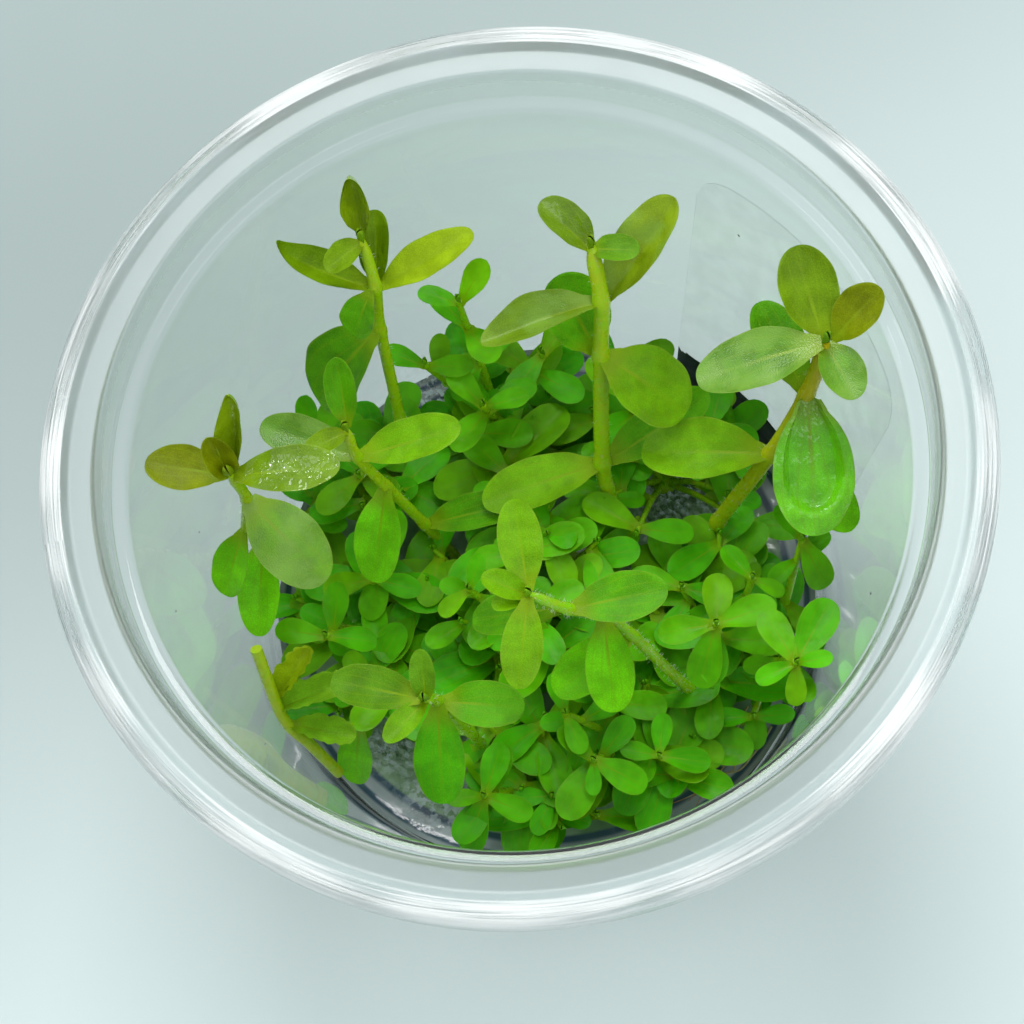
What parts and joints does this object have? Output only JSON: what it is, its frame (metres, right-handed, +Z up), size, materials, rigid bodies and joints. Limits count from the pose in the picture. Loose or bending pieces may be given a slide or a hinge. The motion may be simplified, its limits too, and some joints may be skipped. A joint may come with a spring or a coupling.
{
  "type": "tissue culture lemon bacopa",
  "caption": "Leafy green bacopa shoots standing in dark gel in a clear round growing cup with a flanged rim, open at the top.",
  "frame": {"origin": "centre of the cup's flat foot, on the surface it stands on", "axes": "+Z up along the cup's axis, +Y away from the viewer, +X to the right"},
  "size_m": [0.1, 0.1, 0.068],
  "materials": {
    "cup": "clear, glossy, with a frosted outer edge on the rim",
    "gel": "dark, wet and glossy gel",
    "label": "translucent film with a dark band along its lower edge",
    "leaf": "soft satin leaf, finely pebbled, paler along its middle",
    "bronze_leaf": "olive to bronze young leaf, satin to wet",
    "stem": "yellow-olive stem with fine pale hairs",
    "young_growth": "small satin leaves on thin green stems"
  },
  "bodies": {
    "root": {"clump_back": "young_growth", "clump_back_left": "young_growth", "clump_back_right": "young_growth", "clump_centre": "young_growth", "clump_far_right": "young_growth", "clump_front": "young_growth", "clump_front_right": "young_growth", "clump_left": "young_growth", "clump_right": "young_growth", "cup": "cup", "fallen_shoot": "young_growth", "gel": "gel", "label": "label", "leaf_back_behind": "leaf", "leaf_back_folded_left": "leaf", "leaf_back_folded_right": "leaf", "leaf_back_left_broad": "leaf", "leaf_back_left_drooping": "leaf", "leaf_back_left_folded": "leaf", "leaf_back_left_hooked": "bronze_leaf", "leaf_back_left_left": "leaf", "leaf_back_left_right": "leaf", "leaf_back_low_left": "leaf", "leaf_back_low_right": "leaf", "leaf_back_round": "leaf", "leaf_front_left_down": "leaf", "leaf_front_left_left": "leaf", "leaf_front_left_right": "leaf", "leaf_left_bronze": "bronze_leaf", "leaf_left_hanging_far": "leaf", "leaf_left_hanging_near": "leaf", "leaf_left_silvery": "leaf", "leaf_left_upright": "bronze_leaf", "leaf_left_wet": "bronze_leaf", "leaf_middle_down": "leaf", "leaf_middle_left": "leaf", "leaf_middle_left_down": "leaf", "leaf_middle_left_left": "leaf", "leaf_middle_left_low_right": "leaf", "leaf_middle_left_right": "leaf", "leaf_middle_left_upright": "leaf", "leaf_middle_low_down": "leaf", "leaf_middle_low_left": "leaf", "leaf_middle_right": "leaf", "leaf_middle_up": "leaf", "leaf_right_behind": "leaf", "leaf_right_far_right": "bronze_leaf", "leaf_right_front": "leaf", "leaf_right_left": "leaf", "leaf_right_low_left": "leaf", "leaf_right_low_right": "leaf", "leaf_right_top": "bronze_leaf", "stem_back": "stem", "stem_back_left": "stem", "stem_front_left": "stem", "stem_left": "stem", "stem_middle": "stem", "stem_middle_left": "stem", "stem_right": "stem"}
  },
  "joints": []
}
